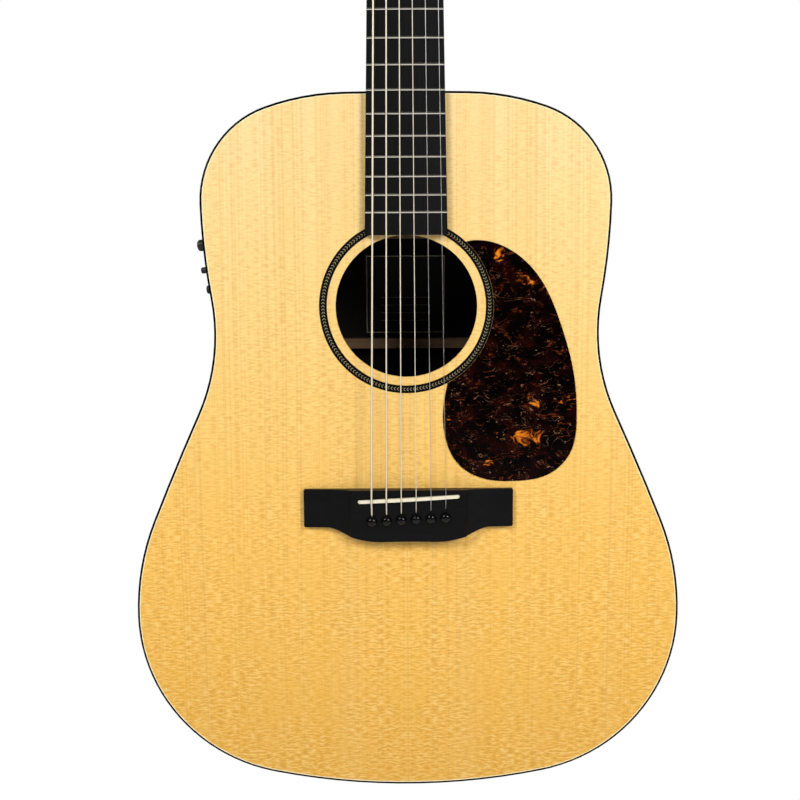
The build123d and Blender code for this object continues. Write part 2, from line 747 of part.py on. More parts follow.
with BuildPart() as truss_nut:
    with BuildSketch(Plane(origin=face.from_local_coords((0, -61.5, -truss_depth)), x_dir=(1, 0, 0),
                           z_dir=(0, 0, -1))):
        Circle(4.2)
        Circle(3.0 + bearing_gap, mode=Mode.SUBTRACT)
    extrude(amount=12)
    with BuildSketch(Plane(origin=face.from_local_coords((0, -73.5, -truss_depth)), x_dir=(1, 0, 0),
                           z_dir=(0, 0, 1))):
        Circle(4.2)
        RegularPolygon(2.5, 6, mode=Mode.SUBTRACT)
    extrude(amount=4.5)
save(truss_nut, "truss_nut")

with BuildPart(face) as neck_bolts:
    for depth in neck_bolt_depths:
        with Locations((0, -24, -depth)):
            Cylinder(3.0, 72, rotation=(90, 0, 0))
        with Locations((0, -block_length - 2, -depth)):
            Cylinder(6.5, 4, rotation=(90, 0, 0))
        with Locations((0, -block_length - 3, -depth)):
            Cylinder(2.2, 4, rotation=(90, 0, 0), mode=Mode.SUBTRACT)
save(neck_bolts, "neck_bolts")

# ---------------------------------------------------------------- tuners
case_depth = 11.0
case_back = -head_thickness - case_depth
gear_radius = 3.75
worm_radius = 2.45
worm_height = -head_thickness - 5.6
stem_radius = 1.9


def case_centre(index):
    px, py, side = post_place(index)
    return px + side * 2.5, py + 2.2


with BuildPart() as tuner_housings:
    for index in range(6):
        px, py, side = post_place(index)
        cx, cy = case_centre(index)
        with BuildPart(head, mode=Mode.PRIVATE) as case:
            with Locations((cx, cy, -head_thickness - case_depth / 2)):
                Box(23, 18.6, case_depth)
            fillet(case.edges().filter_by(Axis((0, 0, 0), head.z_dir)), 4)
            fillet(case.faces().sort_by(Axis((0, 0, 0), head.z_dir))[0].edges(), 1.8)
            with Locations((px, py - 9.6, -head_thickness - 1)):
                Cylinder(3.2, 2)
            with Locations((px, py, -head_thickness - 5.25)):
                Cylinder(gear_radius + 0.25, 7.5, mode=Mode.SUBTRACT)
            with Locations((px, py, -head_thickness)):
                Cylinder(post_radius + bearing_gap, 8, mode=Mode.SUBTRACT)
            with Locations((px, py + worm_offset, worm_height)):
                Cylinder(worm_radius + 0.2, 13, rotation=(0, 90, 0), mode=Mode.SUBTRACT)
            with Locations((px + side * 10, py + worm_offset, worm_height)):
                Cylinder(stem_radius + bearing_gap, 20, rotation=(0, 90, 0), mode=Mode.SUBTRACT)
            with Locations((px, py - 10.4, -head_thickness - 1)):
                Cylinder(1.35, 6, mode=Mode.SUBTRACT)
        add(case.part)
save(tuner_housings, "tuner_housings")

with BuildPart(head) as tuner_screws:
    for index in range(6):
        px, py, side = post_place(index)
        with Locations((px, py - 10.4, -head_thickness + 2.5)):
            Cylinder(1.25, 9)
        with Locations((px, py - 10.4, -head_thickness - 2.6)):
            Cylinder(2.3, 1.2)
        with Locations((px, py - 10.4, -head_thickness - 3.1)):
            Box(2.6, 0.5, 0.6, mode=Mode.SUBTRACT)
            Box(0.5, 2.6, 0.6, mode=Mode.SUBTRACT)
save(tuner_screws, "tuner_screws")

with BuildPart(head) as tuner_bushings:
    for index in range(6):
        px, py, side = post_place(index)
        with Locations((px, py, -3)):
            Cylinder(5.0, 2 * (headplate_thickness + 3))
        with Locations((px, py, headplate_thickness + 0.4)):
            Cylinder(7.2, 0.8)
        with BuildSketch(head.offset(headplate_thickness + 0.8)):
            with Locations((px, py)):
                RegularPolygon(5.9, 6)
        extrude(amount=2.2)
        with Locations((px, py, 0)):
            Cylinder(post_radius + bearing_gap, 40, mode=Mode.SUBTRACT)
save(tuner_bushings, "tuner_bushings")

for index in range(6):
    px, py, side = post_place(index)
    with BuildPart(head) as post:
        with BuildSketch(Plane(origin=head.from_local_coords((px, py, 0)), x_dir=(1, 0, 0),
                               z_dir=-head.y_dir)):
            with BuildLine():
                Polyline((0, -head_thickness - 8.6), (2.4, -head_thickness - 8.6),
                         (2.4, -head_thickness - 7.6), (gear_radius, -head_thickness - 7.6),
                         (gear_radius, -head_thickness - 4.1), (post_radius, -head_thickness - 4.1),
                         (post_radius, 6.4), (post_radius - 0.25, 7.2), (post_radius - 0.25, 11.8),
                         (post_radius, 12.4), (post_radius, 15.6), (post_radius - 0.7, 16.4),
                         (0, 16.6), close=True)
            make_face()
        revolve(axis=Axis(head.from_local_coords((px, py, 0)), head.z_dir))
        with Locations((px, py, -head_thickness - 5.85)):
            with PolarLocations(gear_radius + 0.1, 14):
                Cylinder(0.42, 3.6, mode=Mode.SUBTRACT)
        with Locations((px, py, 11.0)):
            Cylinder(0.9, 12, rotation=(0, 90, 0), mode=Mode.SUBTRACT)
    save(post, f"tuner_post_{index + 1}")

    with BuildPart(head) as key:
        stem_length = 24.5
        with Locations((px + side * (stem_length / 2 - 4), py + worm_offset, worm_height)):
            Cylinder(stem_radius, stem_length, rotation=(0, 90, 0))
        with Locations((px, py + worm_offset, worm_height)):
            Cylinder(worm_radius, 11, rotation=(0, 90, 0))
        with Locations((px + side * 15.4, py + worm_offset, worm_height)):
            Cylinder(3.2, 1.6, rotation=(0, 90, 0))
        for reach, width, depth in [(16.2, 4.6, 3.4), (20.5, 9.4, 3.9), (28, 10.2, 3.8), (31.5, 7.6, 2.6)]:
            station = head.from_local_coords((px + side * reach, py + worm_offset, worm_height))
            with BuildSketch(Plane(origin=station, x_dir=head.y_dir, z_dir=(side, 0, 0))):
                Ellipse(width, depth)
        loft()
    save(key, f"tuner_key_{index + 1}")

# ---------------------------------------------------------------- preamp and controls
with BuildPart(controls) as preamp:
    with Locations((-0.5, 0, -12.5)):
        Box(58, 34, 18)
    with Locations([(x, 0, -1.5) for x in control_places]):
        Cylinder(bushing_radius, 5.6)
    with Locations([(x, 0, -4) for x in control_places]):
        Cylinder(shaft_radius + bearing_gap, 22, mode=Mode.SUBTRACT)
    with Locations([(x, 0, -11) for x in control_places]):
        Cylinder(4.4, 9, mode=Mode.SUBTRACT)
save(preamp, "preamp")

with BuildPart(controls) as control_nuts:
    with BuildSketch(controls.offset(0.35)):
        with Locations([(x, 0) for x in control_places]):
            Circle(4.6)
            Circle(bushing_radius + 0.05, mode=Mode.SUBTRACT)
    extrude(amount=0.9)
save(control_nuts, "control_nuts")


def knob(place, stations, low, flutes, flute_radius, name):
    """A turned knob on its shaft; stations are radius and height outside the side."""
    with BuildPart(controls) as piece:
        with BuildSketch(Plane(origin=controls.from_local_coords((place, 0, 0)), x_dir=controls.x_dir,
                               z_dir=-controls.y_dir)):
            with BuildLine():
                Polyline((0, stations[-1][1]), (0, low - 2), (3.6, low - 2), (3.6, low),
                         (shaft_radius, low), (shaft_radius, stations[0][1]), *stations)
            make_face()
        revolve(axis=Axis(controls.from_local_coords((place, 0, 0)), controls.z_dir))
        with Locations((place, 0, (stations[0][1] + stations[1][1]) / 2)):
            with PolarLocations(stations[1][0] + 0.15, flutes):
                Cylinder(flute_radius, stations[1][1] - stations[0][1], mode=Mode.SUBTRACT)
    save(piece, name)


knob(control_places[0], [(4.3, 1.9), (4.3, 7.4), (4.1, 8.4), (3.4, 9.2), (2.2, 9.7), (0, 9.9)],
     -8, 18, 0.32, "volume_knob")
knob(control_places[1], [(3.6, 1.9), (3.6, 5.4), (2.4, 5.9), (2.3, 9.0), (1.7, 9.5), (0, 9.6)],
     -8, 16, 0.28, "tone_knob")
knob(control_places[2], [(3.1, 3.4), (3.1, 6.2), (2.9, 7.0), (2.0, 7.5), (0, 7.7)], -9.5, 12, 0.2,
     "phase_button")

with BuildPart() as battery:
    add(face_box((32.1, 49.1), (-60, -12), (-81, -55)))
    fillet(battery.edges().filter_by(Axis.Z), 1.5)
save(battery, "battery")

# ---------------------------------------------------------------- end-pin jack and leads
with BuildPart() as endpin_jack:
    with BuildSketch(Plane.XZ):
        with BuildLine():
            Polyline((3.25, 0), (7.4, 0), (8.0, 0.6), (8.0, 2.2), (7.2, 3.2), (5.9, 4.6), (5.6, 7),
                     (5.9, 9.4), (7.6, 11.4), (9.4, 12.2), (9.4, tail_z - 0.05), (5.9, tail_z - 0.05),
                     (5.9, tail_z + 48), (4.2, tail_z + 48), (4.2, tail_z + 52), (3.25, tail_z + 52),
                     close=True)
        make_face()
    revolve(axis=Axis.Z)
save(endpin_jack, "endpin_jack")

with BuildPart() as endpin_nut:
    with BuildSketch(Plane.XY.offset(tail_z + 26.05)):
        Circle(9.5)
        Circle(5.95, mode=Mode.SUBTRACT)
    extrude(amount=1.2)
    with BuildSketch(Plane.XY.offset(tail_z + 27.25)):
        RegularPolygon(9.2, 6)
        Circle(5.95, mode=Mode.SUBTRACT)
    extrude(amount=3.5)
save(endpin_nut, "endpin_nut")


def lead(points, radius):
    with BuildPart(mode=Mode.PRIVATE) as wire:
        with BuildLine() as path:
            FilletPolyline(*[face.from_local_coords(p) for p in points], radius=6)
        with BuildSketch(Plane(origin=path.line @ 0, z_dir=path.line % 0)):
            Circle(radius)
        sweep()
    return wire.part


with BuildPart() as wiring:
    add(lead([(-119, -126, -45), (-100, -126, -45), (-100, -150, -90.5), (-100, -330, -90.5),
              (-70, -430, -92), (-16, -440, -64), (-16, -450, -64)], 1.4))
    add(lead([(-30, -291.1, 2.7), (-30, -291.1, -22), (-100, -300, -22), (-100, -150, -36),
              (-119, -124, -36)], 0.9))
    add(lead([(40, -61, -68), (40, -75, -68), (20, -92, -60), (-60, -92, -50), (-104, -112, -45),
              (-119, -120, -45)], 0.9))
save(wiring, "wiring")
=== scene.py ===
import math

import bmesh
import bpy
from mathutils import Matrix, Vector


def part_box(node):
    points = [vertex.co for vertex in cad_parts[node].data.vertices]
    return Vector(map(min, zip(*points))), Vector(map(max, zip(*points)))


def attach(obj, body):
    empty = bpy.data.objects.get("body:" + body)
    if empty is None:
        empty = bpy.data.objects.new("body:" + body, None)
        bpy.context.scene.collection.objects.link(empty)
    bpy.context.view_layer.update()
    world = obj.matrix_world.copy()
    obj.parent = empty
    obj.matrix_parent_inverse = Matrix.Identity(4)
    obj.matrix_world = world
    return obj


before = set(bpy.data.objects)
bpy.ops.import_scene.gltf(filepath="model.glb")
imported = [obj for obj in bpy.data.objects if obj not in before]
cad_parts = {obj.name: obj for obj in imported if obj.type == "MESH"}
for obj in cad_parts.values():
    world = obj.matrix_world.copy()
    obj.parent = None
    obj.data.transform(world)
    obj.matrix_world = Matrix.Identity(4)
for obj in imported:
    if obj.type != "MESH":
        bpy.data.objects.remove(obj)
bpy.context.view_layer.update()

# ------------------------------------------------------------------ places read from the frame
mm = 0.001
top_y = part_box("soundboard")[0][1]
hole_centre_z = sum(c[2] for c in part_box("rosette")) / 2
joint_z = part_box("side_bass")[1][2]
tail_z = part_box("top_binding")[0][2]
nut_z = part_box("nut")[0][2]


# ------------------------------------------------------------------ node helpers
class Nodes:
    """Short calls for building one procedural material."""

    def __init__(self, name):
        self.material = bpy.data.materials.new(name)
        self.material.use_nodes = True
        self.tree = self.material.node_tree
        self.tree.nodes.clear()
        self.output = self.tree.nodes.new("ShaderNodeOutputMaterial")
        self.shader = self.tree.nodes.new("ShaderNodeBsdfPrincipled")
        self.tree.links.new(self.shader.outputs[0], self.output.inputs[0])
        coordinates = self.tree.nodes.new("ShaderNodeTexCoord")
        self.position = coordinates.outputs["Object"]
        parts = self.tree.nodes.new("ShaderNodeSeparateXYZ")
        self.tree.links.new(self.position, parts.inputs[0])
        self.x, self.y, self.z = parts.outputs

    def set(self, **values):
        for name, value in values.items():
            self.shader.inputs[name.replace("_", " ")].default_value = value

    def link(self, source, target):
        self.tree.links.new(source, self.shader.inputs[target])

    def put(self, value, socket):
        if isinstance(value, (int, float, tuple)):
            socket.default_value = value
        else:
            self.tree.links.new(value, socket)

    def math(self, operation, a, b=0.0, c=0.0, clamp=False):
        node = self.tree.nodes.new("ShaderNodeMath")
        node.operation = operation
        node.use_clamp = clamp
        for value, socket in zip((a, b, c), node.inputs):
            self.put(value, socket)
        return node.outputs[0]

    def times(self, a, b):
        return self.math("MULTIPLY", a, b)

    def plus(self, a, b, clamp=False):
        return self.math("ADD", a, b, clamp=clamp)

    def minus(self, a, b):
        return self.math("SUBTRACT", a, b)

    def absolute(self, a):
        return self.math("ABSOLUTE", a)

    def vector(self, x, y, z):
        node = self.tree.nodes.new("ShaderNodeCombineXYZ")
        for value, socket in zip((x, y, z), node.inputs):
            self.put(value, socket)
        return node.outputs[0]

    def scaled(self, sx, sy, sz, x=None):
        return self.vector(
            self.math("MULTIPLY", self.x if x is None else x, sx),
            self.math("MULTIPLY", self.y, sy),
            self.math("MULTIPLY", self.z, sz),
        )

    def facing(self, kind):
        """The Y part of a normal: -1 on faces that look forward."""
        geometry = self.tree.nodes.new("ShaderNodeNewGeometry")
        parts = self.tree.nodes.new("ShaderNodeSeparateXYZ")
        self.tree.links.new(geometry.outputs[kind], parts.inputs[0])
        return parts.outputs[1]

    def noise(self, where, scale=1.0, detail=3.0, roughness=0.5, distortion=0.0):
        node = self.tree.nodes.new("ShaderNodeTexNoise")
        self.put(where, node.inputs["Vector"])
        node.inputs["Scale"].default_value = scale
        node.inputs["Detail"].default_value = detail
        node.inputs["Roughness"].default_value = roughness
        node.inputs["Distortion"].default_value = distortion
        return node.outputs[0]

    def ramp(self, value, stops, ease="LINEAR"):
        node = self.tree.nodes.new("ShaderNodeValToRGB")
        node.color_ramp.interpolation = ease
        elements = node.color_ramp.elements
        while len(elements) < len(stops):
            elements.new(0.5)
        for element, (place, colour) in zip(elements, stops):
            element.position = place
            element.color = colour if len(colour) == 4 else (*colour, 1.0)
        self.put(value, node.inputs[0])
        return node.outputs[0]

    def grey(self, value, low, high):
        """A smooth 0 to 1 step between two values."""
        node = self.tree.nodes.new("ShaderNodeMapRange")
        node.interpolation_type = "SMOOTHSTEP"
        self.put(value, node.inputs[0])
        node.inputs[1].default_value = low
        node.inputs[2].default_value = high
        return node.outputs[0]

    def span(self, value, low, high, new_low, new_high):
        node = self.tree.nodes.new("ShaderNodeMapRange")
        self.put(value, node.inputs[0])
        for index, limit in enumerate((low, high, new_low, new_high)):
            node.inputs[index + 1].default_value = limit
        return node.outputs[0]

    def mix(self, factor, a, b, kind="MIX"):
        node = self.tree.nodes.new("ShaderNodeMix")
        node.data_type = "RGBA"
        node.blend_type = kind
        self.put(factor, node.inputs[0])
        for value, socket in ((a, node.inputs[6]), (b, node.inputs[7])):
            if isinstance(value, tuple) and len(value) == 3:
                value = (*value, 1.0)
            self.put(value, socket)
        return node.outputs[2]

    def bump(self, height, strength=0.3, distance=0.0002, under=None):
        node = self.tree.nodes.new("ShaderNodeBump")
        node.inputs["Strength"].default_value = strength
        node.inputs["Distance"].default_value = distance
        self.put(height, node.inputs["Height"])
        if under is not None:
            self.tree.links.new(under, node.inputs["Normal"])
        self.tree.links.new(node.outputs[0], self.shader.inputs["Normal"])
        return node.outputs[0]


def linear(r, g, b):
    """A colour given in 8-bit display values, as the shader wants it."""
    return tuple((v / 255 / 12.92) if v <= 10 else ((v / 255 + 0.055) / 1.055) ** 2.4 for v in (r, g, b))


def dress(material, *names):
    for name in names:
        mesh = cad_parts[name].data
        mesh.materials.clear()
        mesh.materials.append(material)


# ------------------------------------------------------------------ materials
def spruce():
    """Straight growth rings with silk across them, paler towards the neck, partly as painted light."""
    n = Nodes("spruce_top")
    mirror_x = -0.0004
    across = n.absolute(n.minus(n.x, mirror_x))
    drift = n.times(n.minus(n.noise(n.scaled(6, 0, 2.0), detail=2), 0.5), 0.010)
    wandering = n.plus(across, drift)
    rings = n.times(wandering, 620)
    fine = n.noise(n.vector(rings, 0, n.times(n.z, 1.1)), detail=2.0, roughness=0.6)
    broad_place = n.vector(n.times(wandering, 38), 0, n.times(n.z, 0.8))
    broad = n.noise(broad_place, detail=3)
    lines = n.grey(fine, 0.44, 0.68)
    # rays of silk lie across the grain in short wavy ripples, mirrored at the centre joint
    sway = n.noise(n.vector(n.times(across, 120), 0.0, n.times(n.z, 70)), detail=2)
    lifted = n.plus(n.z, n.times(n.minus(sway, 0.5), 0.0042))
    silk_place = n.vector(n.times(across, 175), 0.0, n.times(lifted, 820))
    silk = n.noise(silk_place, detail=2, roughness=0.5)
    zone = n.noise(n.vector(n.times(across, 26), 0.0, n.times(n.z, 18)), detail=3)
    down = n.span(n.z, joint_z, tail_z, 0.0, 1.0)
    zone_depth = n.span(n.grey(zone, 0.34, 0.62), 0, 1, 0.55, 1.0)
    silk_depth = n.times(zone_depth, n.span(down, 0, 1, 0.42, 0.95))
    ripple = n.times(n.minus(n.grey(silk, 0.34, 0.66), 0.5), silk_depth)
    # the top grows deeper amber from the neck towards the tail: partly the spruce's own tone, partly
    # painted light falling from above
    base = n.ramp(down, [
        (0.0, linear(253, 222, 160)), (0.25, linear(253, 215, 139)), (0.45, linear(253, 205, 114)),
        (0.62, linear(251, 195, 91)), (0.80, linear(244, 185, 76)), (1.0, linear(228, 170, 61)),
    ])
    base = n.mix(n.times(n.grey(broad, 0.38, 0.70), 0.32), base, linear(236, 190, 104))
    base = n.mix(n.times(lines, 0.24), base, linear(206, 150, 66))
    base = n.mix(n.math("MAXIMUM", n.times(ripple, 0.95), 0.0), base, linear(196, 138, 48))
    base = n.mix(n.math("MAXIMUM", n.times(ripple, -0.80), 0.0), base, linear(255, 234, 160))
    seam = n.grey(n.absolute(n.x), 0.0006, 0.0001)
    base = n.mix(n.times(seam, 0.20), base, linear(200, 140, 66))
    n.link(base, "Base Color")
    n.set(Roughness=0.5, Specular_IOR_Level=0.35, Coat_Weight=0.10, Coat_Roughness=0.3)
    height = n.plus(n.times(lines, 0.4), n.times(silk, 0.3))
    n.bump(height, 0.10, 0.00012)
    return n.material


def wood(name, shades, gloss, pore, stretch, bump, specular=0.5, coat=0.0):
    """Streaked wood with pores; stretch is the grain's scale along X, Y and Z."""
    n = Nodes(name)
    shades = [linear(*shade) for shade in shades]
    n.set(Specular_IOR_Level=specular)
    grain = n.noise(n.scaled(*stretch), detail=5, roughness=0.65)
    pores = n.noise(n.scaled(stretch[0] * 4.5, stretch[1] * 4.5, stretch[2] * 3), detail=2)
    colour = n.ramp(grain, [(0.3, shades[0]), (0.52, shades[1]), (0.75, shades[2])])
    pore_colour = tuple(c * 0.4 for c in shades[0])
    colour = n.mix(n.times(n.grey(pores, 0.58, 0.72), pore), colour, pore_colour)
    n.link(colour, "Base Color")
    n.link(n.span(grain, 0.3, 0.7, gloss - 0.06, gloss + 0.08), "Roughness")
    n.set(Coat_Weight=coat, Coat_Roughness=0.2)
    n.bump(n.minus(grain, n.grey(pores, 0.56, 0.72)), bump, 0.00012)
    return n


def painted_inner_shade(n, depth):
    """Darkens the faces that look forward inside the body with painted shade."""
    colour = n.shader.inputs["Base Color"].links[0].from_socket
    # painted shade: forward-looking faces are mixed towards near black and made rougher
    inside = n.times(n.grey(n.facing("True Normal"), -0.5, -0.8), depth)
    n.link(n.mix(inside, colour, linear(4, 3, 3)), "Base Color")
    rough = n.shader.inputs["Roughness"].links[0].from_socket
    n.link(n.plus(rough, n.times(inside, 0.6), clamp=True), "Roughness")
    return n


def plastic(name, colour, rough, mottle=0.25, bump=0.08, scale=900, coat=0.0, specular=0.5):
    n = Nodes(name)
    n.set(Specular_IOR_Level=specular)
    cloud = n.noise(n.position, scale=scale, detail=4)
    wide = n.noise(n.position, scale=60, detail=3)
    light = tuple(min(1.0, c * 1.8 + 0.01) for c in colour)
    shade = n.mix(n.times(cloud, mottle), colour, light)
    n.link(shade, "Base Color")
    n.link(n.span(wide, 0.3, 0.7, rough - 0.05, rough + 0.07), "Roughness")
    n.set(Coat_Weight=coat, Coat_Roughness=0.08)
    n.bump(cloud, bump, 0.00006)
    return n.material


def metal(name, colour, rough, brush=(40, 1500, 40), bump=0.06):
    n = Nodes(name)
    scratches = n.noise(n.scaled(*brush), detail=3)
    smudge = n.noise(n.position, scale=90, detail=3)
    worn = tuple(c * 0.75 for c in colour)
    n.link(n.mix(n.times(scratches, 0.4), colour, worn), "Base Color")
    n.link(n.span(n.plus(n.times(scratches, 0.5), n.times(smudge, 0.5)),
                  0.3, 0.7, rough * 0.7, rough * 1.4), "Roughness")
    n.set(Metallic=1.0)
    n.bump(scratches, bump, 0.00004)
    return n.material


def herringbone():
    """Two rows of slanted teeth that meet in a chevron round the soundhole."""
    n = Nodes("rosette_inlay")
    ring_radius = 0.0598
    teeth = 162
    slant = 0.0022
    dz = n.minus(n.z, hole_centre_z)
    r = n.math("SQRT", n.plus(n.times(n.x, n.x), n.times(dz, dz)))
    angle = n.math("ARCTAN2", n.x, dz)
    from_mid = n.absolute(n.minus(r, ring_radius))
    turn = n.times(angle, teeth / (2 * math.pi))
    phase = n.plus(turn, n.times(from_mid, 1 / slant))
    tooth = n.absolute(n.minus(n.math("FRACT", phase), 0.5))
    chevron = n.grey(tooth, 0.31, 0.40)
    band = n.grey(from_mid, 0.00122, 0.00102)
    spine = n.grey(from_mid, 0.00008, 0.00022)
    fibres = n.noise(n.position, scale=1800, detail=2)
    pale = n.mix(fibres, linear(196, 184, 150), linear(150, 138, 108))
    dark = n.mix(fibres, linear(7, 6, 4), linear(2, 2, 2))
    mark = n.times(n.times(chevron, band), spine)
    colour = n.mix(n.times(mark, 0.80), dark, pale)
    n.link(colour, "Base Color")
    n.set(Roughness=0.45, Specular_IOR_Level=0.08)
    n.bump(fibres, 0.05, 0.00005)
    return n.material


def tortoise():
    """Near black with brown threads, pale flecks and a few amber patches."""
    n = Nodes("tortoise_guard")
    low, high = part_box("pickguard")
    shifted_x = n.plus(n.x, 0.4)
    warp_x = n.minus(n.noise(n.scaled(55, 0, 75), detail=2, roughness=0.55), 0.5)
    warp_z = n.minus(n.noise(n.scaled(48, 3, 62, shifted_x), detail=2, roughness=0.55), 0.5)
    x = n.plus(n.x, n.times(warp_x, 0.020))
    z = n.plus(n.z, n.times(warp_z, 0.024))

    def swirl(across, layer, up, detail, roughness):
        place = n.vector(n.times(x, across), layer, n.times(z, up))
        return n.noise(place, detail=detail, roughness=roughness)

    def contours(field, count, wide, narrow):
        """Thin lines that follow a field's levels, one inside another."""
        nested = n.absolute(n.minus(n.math("FRACT", n.times(field, count)), 0.5))
        return n.grey(nested, wide, narrow)

    thread = contours(swirl(34, 0.0, 104, 3, 0.5), 9, 0.085, 0.015)
    thin_thread = contours(swirl(52, 4.0, 140, 2, 0.5), 6, 0.05, 0.006)
    where = n.noise(n.scaled(95, 0, 130), detail=3, roughness=0.6)
    elsewhere = n.noise(n.scaled(120, 7, 150), detail=3, roughness=0.6)
    cloud = swirl(60, 9.0, 90, 4, 0.6)
    colour = n.ramp(cloud, [
        (0.38, linear(0, 0, 0)), (0.50, linear(6, 1, 1)),
        (0.60, linear(22, 3, 2)), (0.74, linear(50, 12, 5)),
    ])
    thread_amount = n.times(thread, n.times(n.grey(where, 0.46, 0.66), 0.72))
    colour = n.mix(thread_amount, colour, linear(126, 56, 24))
    thin_amount = n.times(thin_thread, n.times(n.grey(elsewhere, 0.50, 0.70), 0.8))
    colour = n.mix(thin_amount, colour, linear(166, 116, 84))
    flecks = n.noise(n.scaled(420, 5, 800), detail=2, roughness=0.6)
    fleck = n.times(n.grey(flecks, 0.66, 0.74), n.grey(elsewhere, 0.40, 0.60))
    colour = n.mix(n.times(fleck, 0.8), colour, linear(176, 130, 104))
    flame = swirl(150, 0.0, 210, 3, 0.6)
    amber = 0.0
    # each patch's place as a share of the guard's width and height, then its reach in metres
    for across, up, width, height in (
        (0.42, 0.955, 0.0044, 0.0056), (0.62, 0.836, 0.0066, 0.0022), (0.67, 0.330, 0.0048, 0.0036),
        (0.93, 0.350, 0.0070, 0.0026), (0.63, 0.178, 0.0100, 0.0052), (0.35, 0.080, 0.0038, 0.0036),
        (0.22, 0.085, 0.0028, 0.0024), (0.03, 0.240, 0.0030, 0.0050),
    ):
        dx = n.math("DIVIDE", n.minus(x, low[0] + across * (high[0] - low[0])), width)
        dz = n.math("DIVIDE", n.minus(z, low[2] + up * (high[2] - low[2])), height)
        reach = n.plus(n.times(dx, dx), n.times(dz, dz))
        amber = n.math("MAXIMUM", amber, n.grey(reach, 1.3, 0.2))
    patch = n.times(n.grey(flame, 0.47, 0.56), n.grey(amber, 0.05, 0.5))
    amber_shade = n.mix(n.grey(flame, 0.46, 0.68), linear(132, 52, 6), linear(240, 140, 34))
    colour = n.mix(patch, colour, amber_shade)
    n.link(colour, "Base Color")
    n.set(Roughness=0.14, Specular_IOR_Level=0.08)
    n.bump(n.noise(n.position, scale=120, detail=2), 0.02, 0.0001)
    return n.material


def wound(name, colour, pitch):
    """A bronze winding with one ridge to each pitch, with painted shade along the string's sides."""
    n = Nodes(name)
    wave = n.math("SINE", n.times(n.z, 2 * math.pi / pitch))
    stain = n.noise(n.scaled(300, 300, 25), detail=3)
    shade = n.mix(stain, colour, tuple(c * 0.85 for c in colour))
    shade = n.mix(n.span(wave, -1, 1, 0.25, 0.0), shade, tuple(c * 0.5 for c in colour))
    # painted shade: the sides of the string, away from its forward-looking front, are darkened
    painted_side_shade = tuple(c * 0.22 for c in colour)
    shade = n.mix(n.grey(n.facing("Normal"), -0.80, -0.35), shade, painted_side_shade)
    n.link(shade, "Base Color")
    n.set(Metallic=0.25, Roughness=0.38)
    n.bump(wave, 0.35, 0.00005)
    return n.material


def paper():
    """A dark label, painted darker still as painted shade inside the body, with a pale border line and
    blank ruled lines in its lower half.
    """
    n = Nodes("label_paper")
    border_inset = 0.0011
    rule_pitch = 0.0062
    fibres = n.noise(n.position, scale=900, detail=5)
    cloud = n.noise(n.position, scale=45, detail=3)
    low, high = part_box("label")
    half_x = (high[0] - low[0]) / 2
    half_z = (high[2] - low[2]) / 2
    mid_z = (high[2] + low[2]) / 2
    edge_x = n.minus(half_x, n.absolute(n.x))
    edge_z = n.minus(half_z, n.absolute(n.minus(n.z, mid_z)))
    inset = n.math("MINIMUM", edge_x, edge_z)
    line = n.grey(n.absolute(n.minus(inset, border_inset)), 0.00055, 0.00030)
    # painted shade: these paper colours are darker than the label's own, for the shade inside the body
    colour = n.mix(cloud, linear(20, 18, 16), linear(13, 12, 11))
    colour = n.mix(n.times(fibres, 0.3), colour, linear(24, 21, 18))
    colour = n.mix(n.times(line, 0.9), colour, linear(172, 164, 138))
    rule = n.absolute(n.minus(n.math("FRACT", n.times(n.z, 1 / rule_pitch)), 0.5))
    lower_half = n.times(n.grey(n.z, mid_z + 0.001, mid_z), n.grey(edge_z, 0.009, 0.0095))
    rule_area = n.times(lower_half, n.grey(edge_x, 0.012, 0.0125))
    ruled = n.times(n.grey(rule, 0.10, 0.05), rule_area)
    colour = n.mix(n.times(ruled, 0.6), colour, linear(110, 106, 98))
    n.link(colour, "Base Color")
    n.set(Roughness=0.8)
    n.bump(fibres, 0.1, 0.0001)
    return n.material


charcoal = wood(
    "charcoal_board", [(7, 7, 7), (11, 10, 10), (18, 17, 16)], 0.6, 0.35, (700, 500, 22), 0.12, 0.12,
).material
bridge_wood = wood(
    "charcoal_bridge", [(3, 3, 4), (6, 6, 7), (11, 11, 11)], 0.38, 0.35, (22, 500, 700), 0.10, 0.16,
).material
veneer = wood(
    "head_veneer", [(20, 15, 14), (34, 24, 21), (52, 36, 30)], 0.46, 0.3, (500, 500, 12), 0.05, 0.3,
).material
# the body hardwood gets painted shade on its forward-looking inner faces
mahogany = painted_inner_shade(wood(
    "body_hardwood", [(58, 30, 20), (88, 46, 29), (120, 66, 42)], 0.34, 0.55, (230, 230, 9), 0.10, 0.4,
), 0.97).material
neck_wood = wood(
    "neck_hardwood", [(84, 50, 32), (112, 68, 44), (138, 88, 58)], 0.4, 0.45, (320, 320, 8), 0.08,
    coat=0.25,
).material
# the brace spruce is painted far darker than bare spruce, as painted shade inside the body
brace_wood = wood(
    "brace_spruce", [(112, 84, 58), (124, 96, 66), (138, 108, 76)], 0.6, 0.2, (16, 500, 500), 0.2,
).material
plate_wood = wood(
    "plate_maple", [(150, 108, 68), (172, 128, 86), (190, 148, 104)], 0.6, 0.2, (20, 400, 400), 0.2,
).material
purfling_maple = wood(
    "purfling_maple", [(250, 226, 166), (255, 238, 190), (255, 246, 208)], 0.5, 0.1, (90, 400, 90), 0.05,
    specular=0.3,
).material
black_gloss = plastic("black_binding", linear(2, 2, 2), 0.30, 0.1, 0.05, 500, 0.0, 0.12)
pin_black = plastic("pin_black", linear(1, 1, 1), 0.09, 0.1, 0.02, 700, 0.0, 0.3)
knob_black = plastic("knob_black", linear(18, 18, 19), 0.42, 0.4, 0.15, 1500)
case_black = plastic("case_black", linear(22, 22, 23), 0.5, 0.4, 0.25, 1300)
bone = plastic("bone_white", linear(238, 228, 200), 0.35, 0.10, 0.10, 450)
